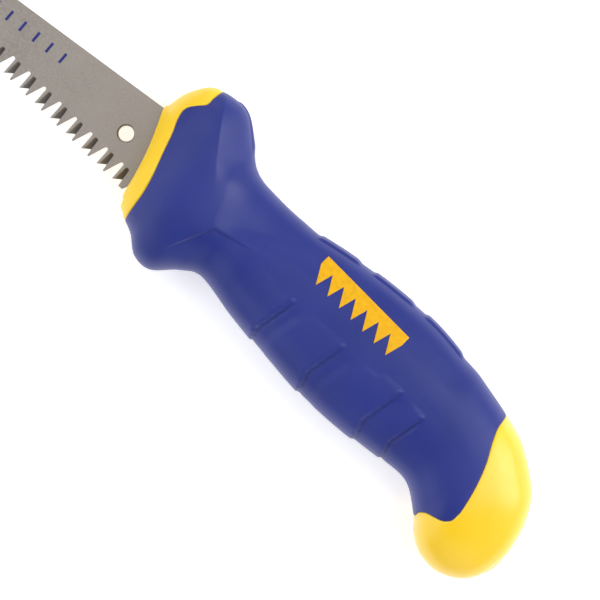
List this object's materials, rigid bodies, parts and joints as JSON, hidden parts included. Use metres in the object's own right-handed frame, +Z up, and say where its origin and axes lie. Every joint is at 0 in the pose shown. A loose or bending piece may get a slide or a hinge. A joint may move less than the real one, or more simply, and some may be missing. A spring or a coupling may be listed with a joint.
{
  "type": "drywall saw",
  "caption": "Fixed-blade drywall saw: tapered pointed steel blade with ground teeth, flared guard, soft contoured grip and hooked hard butt.",
  "frame": {"origin": "middle of the whole saw in plan, on the surface that it lies on", "axes": "+X along the blade's centreline towards the tip, +Y towards the teeth and the finger side, +Z up, square to the blade's left face"},
  "size_m": [0.3246, 0.0676, 0.0304],
  "materials": {
    "blade_steel": "satin, fine grind lines",
    "blade_ink": "thin matt print",
    "pin_steel": "turned",
    "core_plastic": "plain moulded",
    "yellow_plastic": "smooth, half gloss",
    "grip_rubber": "soft satin, fine grain",
    "grip_ink": "thin print"
  },
  "bodies": {
    "root": {"blade": "blade_steel", "blade_marks": "blade_ink", "tang_pins": "pin_steel", "core_left": "core_plastic", "core_right": "core_plastic", "nose_collar": "yellow_plastic", "grip_sleeve": "grip_rubber", "butt_cap": "yellow_plastic", "grip_motif": "grip_ink"}
  },
  "joints": []
}
